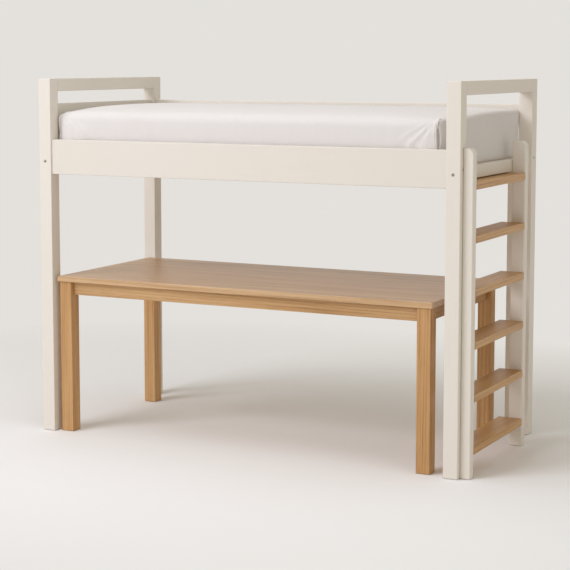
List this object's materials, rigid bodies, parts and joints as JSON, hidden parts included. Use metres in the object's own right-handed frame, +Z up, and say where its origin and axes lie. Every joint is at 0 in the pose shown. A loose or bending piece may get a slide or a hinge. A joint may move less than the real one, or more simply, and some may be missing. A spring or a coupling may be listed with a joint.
{
  "type": "cabin bed",
  "caption": "High single bed on square posts with guard boards, slats, mattress, fixed end ladder and a free-standing oak desk beneath that slides out.",
  "frame": {"origin": "on the floor, at the middle of the footprint of the bed with its ladder", "axes": "+X along the bed towards the ladder end, +Y from the open front to the guarded rear, +Z up"},
  "size_m": [2.187, 1.01, 1.7],
  "materials": {
    "paint": "warm off-white satin paint",
    "oak": "natural oak, clear matt lacquer",
    "beech": "bare",
    "linen": "white cotton fitted sheet",
    "steel": "zinc plated",
    "nylon": "moulded"
  },
  "bodies": {
    "bed": {"front_left_post": "paint", "rear_left_post": "paint", "front_right_post": "paint", "rear_right_post": "paint", "left_top_rail": "paint", "right_top_rail": "paint", "left_guard_board": "paint", "rear_guard_board": "paint", "left_end_rail": "paint", "right_end_rail": "paint", "front_side_rail": "paint", "rear_side_rail": "paint", "rear_right_batten": "paint", "front_slat_ledger": "paint", "rear_slat_ledger": "paint", "slats": "beech", "mattress": "linen", "ladder_front_stile": "paint", "ladder_rear_stile": "paint", "ladder_tread_1": "oak", "ladder_tread_2": "oak", "ladder_tread_3": "oak", "ladder_tread_4": "oak", "ladder_tread_5": "oak", "ladder_tread_6": "oak", "side_rail_bolts": "steel", "end_rail_bolts": "steel", "barrel_nuts": "steel", "side_rail_dowels": "beech", "end_rail_dowels": "beech", "top_rail_dowels": "beech", "guard_dowels": "beech", "ladder_bolts": "steel", "ladder_inserts": "steel", "tread_dowels": "beech", "batten_screws": "steel", "ledger_screws": "steel", "slat_screws": "steel", "bed_glides": "nylon"},
    "desk": {"desk_top": "oak", "desk_front_apron": "oak", "desk_rear_apron": "oak", "desk_left_apron": "oak", "desk_right_apron": "oak", "desk_front_left_leg": "oak", "desk_rear_left_leg": "oak", "desk_front_right_leg": "oak", "desk_rear_right_leg": "oak", "desk_corner_brackets": "steel", "desk_hanger_bolts": "steel", "desk_wing_nuts": "steel", "desk_bracket_screws": "steel", "desk_top_clips": "steel", "desk_clip_screws": "steel", "desk_glides": "nylon"}
  },
  "joints": [
    {"name": "desk_pull", "type": "slide", "parent": "bed", "child": "desk", "axis": [0, -1, 0], "range_m": [0, 0.9]}
  ]
}
